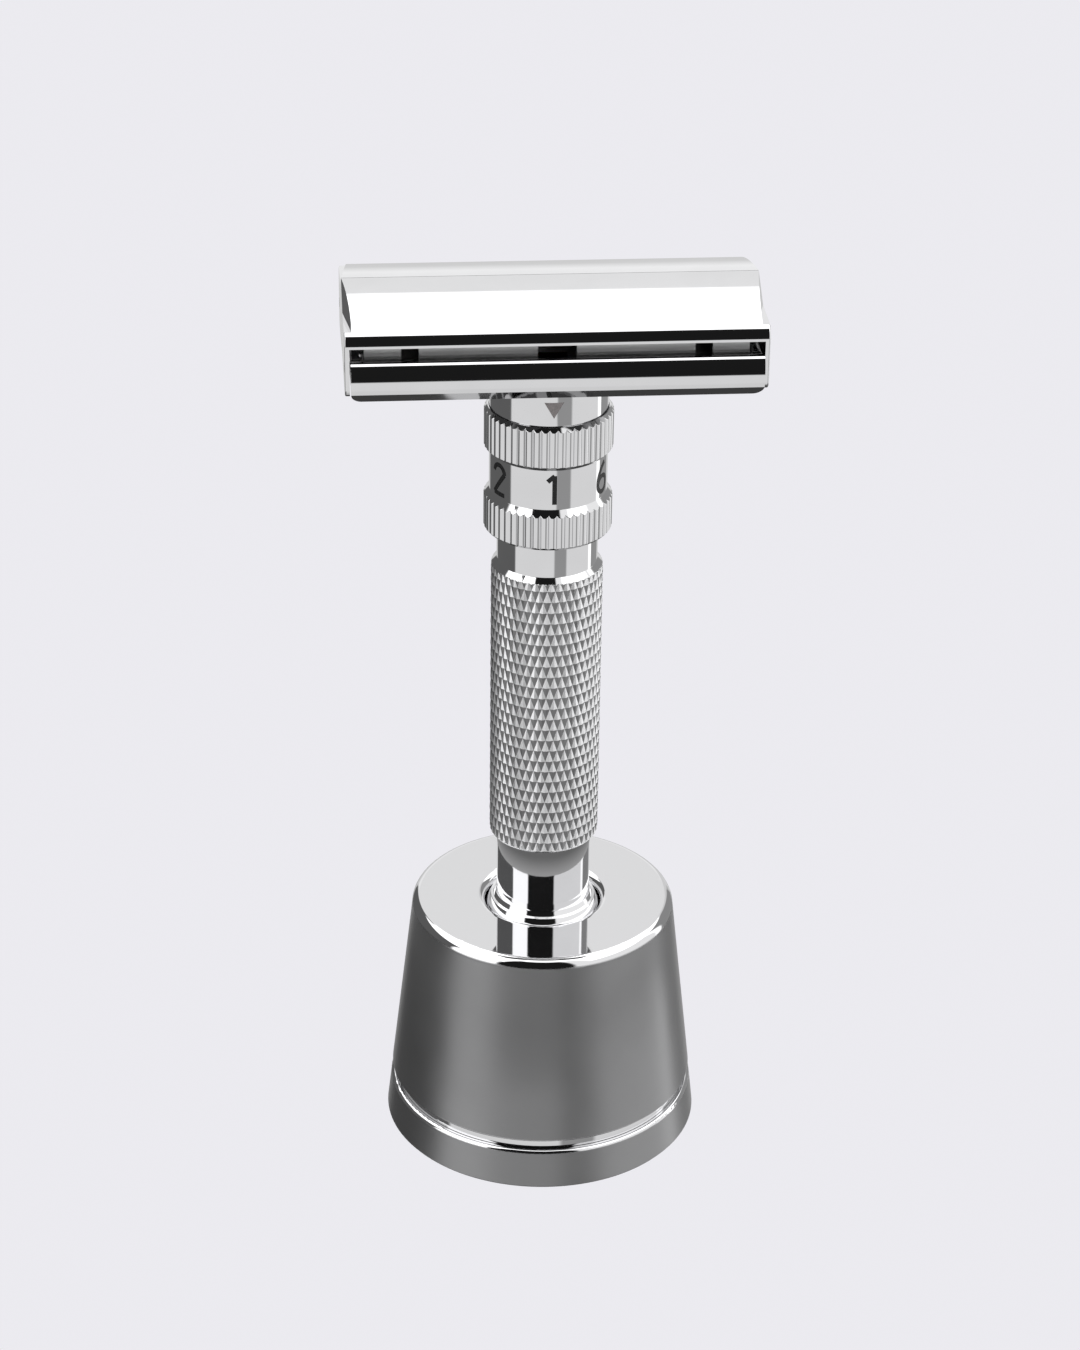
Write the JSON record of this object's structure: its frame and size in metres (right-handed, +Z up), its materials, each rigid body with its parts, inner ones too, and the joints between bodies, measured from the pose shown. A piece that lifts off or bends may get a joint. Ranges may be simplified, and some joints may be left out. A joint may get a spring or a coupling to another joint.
{
  "type": "safety razor",
  "caption": "Adjustable twist-to-open safety razor with a knurled grip and numbered dial, standing in a weighted conical chrome stand.",
  "frame": {"origin": "centre of the stand's underside, on the counter", "axes": "+Z up along the razor's axis; X along the head's length; -Y is the front, where the index mark and the numeral 1 face"},
  "size_m": [0.0436, 0.0358, 0.1035],
  "materials": {
    "chrome_polished": "mirror-polished chrome plate",
    "chrome_stand": "polished chrome plate over a heavy cast body",
    "chrome_bed": "plated casting with fine die lines",
    "steel_turned": "turned steel",
    "brass_turned": "turned brass, unplated inside",
    "spring_steel": "spring steel",
    "enamel_black": "black enamel in engraved figures",
    "enamel_grey": "grey enamel in an engraved mark",
    "pad_rubber": "matt non-slip pad"
  },
  "bodies": {
    "stand": {"stand_body": "chrome_stand", "stand_foot": "chrome_stand", "stand_pad": "pad_rubber"},
    "handle": {"handle_grip": "chrome_polished", "handle_bush": "brass_turned", "knob_washer": "brass_turned", "core_tube": "brass_turned", "dial_ring": "spring_steel", "click_spring": "spring_steel", "blade_bed": "chrome_bed"},
    "dial": {"dial_collar": "chrome_polished", "dial_numerals": "enamel_black"},
    "guard": {"guard_tray": "chrome_polished", "index_barrel": "chrome_polished", "index_mark": "enamel_grey", "guard_sleeve": "brass_turned", "guard_spring": "spring_steel"},
    "knob": {"knob": "chrome_polished", "drive_screw": "steel_turned", "knob_ring": "spring_steel"},
    "lift": {"push_rod": "steel_turned", "door_carrier": "steel_turned", "carrier_rivet": "steel_turned", "hinge_pins": "steel_turned"},
    "door_front": {"door_front": "chrome_polished"},
    "door_back": {"door_back": "chrome_polished"}
  },
  "joints": [
    {"name": "razor_lift", "type": "slide", "parent": "stand", "child": "handle", "axis": [0, 0, 1], "range_m": [0, 0.03]},
    {"name": "dial_turn", "type": "hinge", "parent": "handle", "child": "dial", "pos_m": [0, 0, 0.082], "axis": [0, 0, 1], "range_deg": [0, 300]},
    {"name": "guard_drop", "type": "slide", "parent": "handle", "child": "guard", "axis": [0, 0, 1], "range_m": [-0.00091, 0], "deforming": ["guard_spring"]},
    {"name": "knob_turn", "type": "hinge", "parent": "handle", "child": "knob", "pos_m": [0, 0, 0.02], "axis": [0, 0, 1], "range_deg": [-720, 0]},
    {"name": "doors_lift", "type": "slide", "parent": "handle", "child": "lift", "axis": [0, 0, 1], "range_m": [0, 0.00401]},
    {"name": "door_front_open", "type": "hinge", "parent": "lift", "child": "door_front", "pos_m": [0, -0.009, 0.09725], "axis": [1, 0, 0], "range_deg": [0, 70.1]},
    {"name": "door_back_open", "type": "hinge", "parent": "lift", "child": "door_back", "pos_m": [0, 0.009, 0.09725], "axis": [1, 0, 0], "range_deg": [-70.1, 0]}
  ],
  "couplings": [
    {"joint": "guard_drop", "follows": "dial_turn", "m_per_rad": -0.00017189},
    {"joint": "doors_lift", "follows": "knob_turn", "m_per_rad": -0.00031831},
    {"joint": "door_front_open", "follows": "knob_turn", "ratio": -0.097222},
    {"joint": "door_back_open", "follows": "knob_turn", "ratio": 0.097222}
  ]
}
